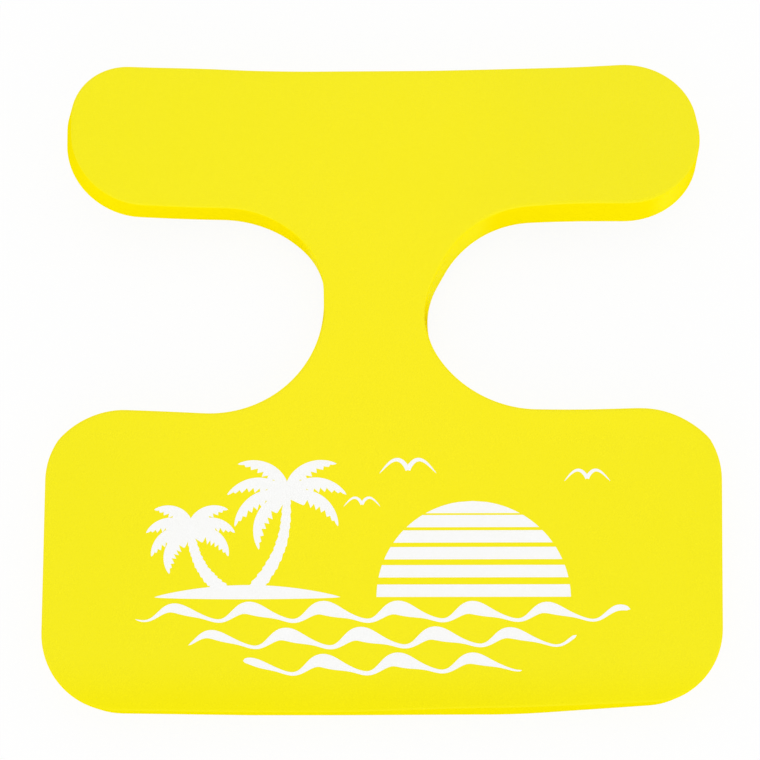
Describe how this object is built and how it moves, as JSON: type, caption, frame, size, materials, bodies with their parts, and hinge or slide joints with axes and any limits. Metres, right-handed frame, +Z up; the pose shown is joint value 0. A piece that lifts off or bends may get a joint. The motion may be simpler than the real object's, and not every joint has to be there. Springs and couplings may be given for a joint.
{
  "type": "saddle pool float",
  "caption": "Saddle-shaped foam pool float: a wide seat, a narrow neck with a leg gap at each side, and a front bar whose arms curl and twist a little.",
  "frame": {"origin": "on the plane that the seat rests on, under the middle of the float's outline", "axes": "+X across the float towards the rider's right arm of the bar, +Y from the seat towards the front bar, +Z up"},
  "size_m": [0.7396, 0.7377, 0.0962],
  "materials": {
    "vinyl": "satin dipped vinyl",
    "seal": "satin vinyl dab",
    "foam": "closed-cell foam"
  },
  "bodies": {
    "root": {"vinyl_coat": "vinyl", "foam_bottom_ply": "foam", "foam_middle_ply": "foam", "foam_top_ply": "foam", "hook_seal_left": "seal", "hook_seal_right": "seal"}
  },
  "joints": []
}
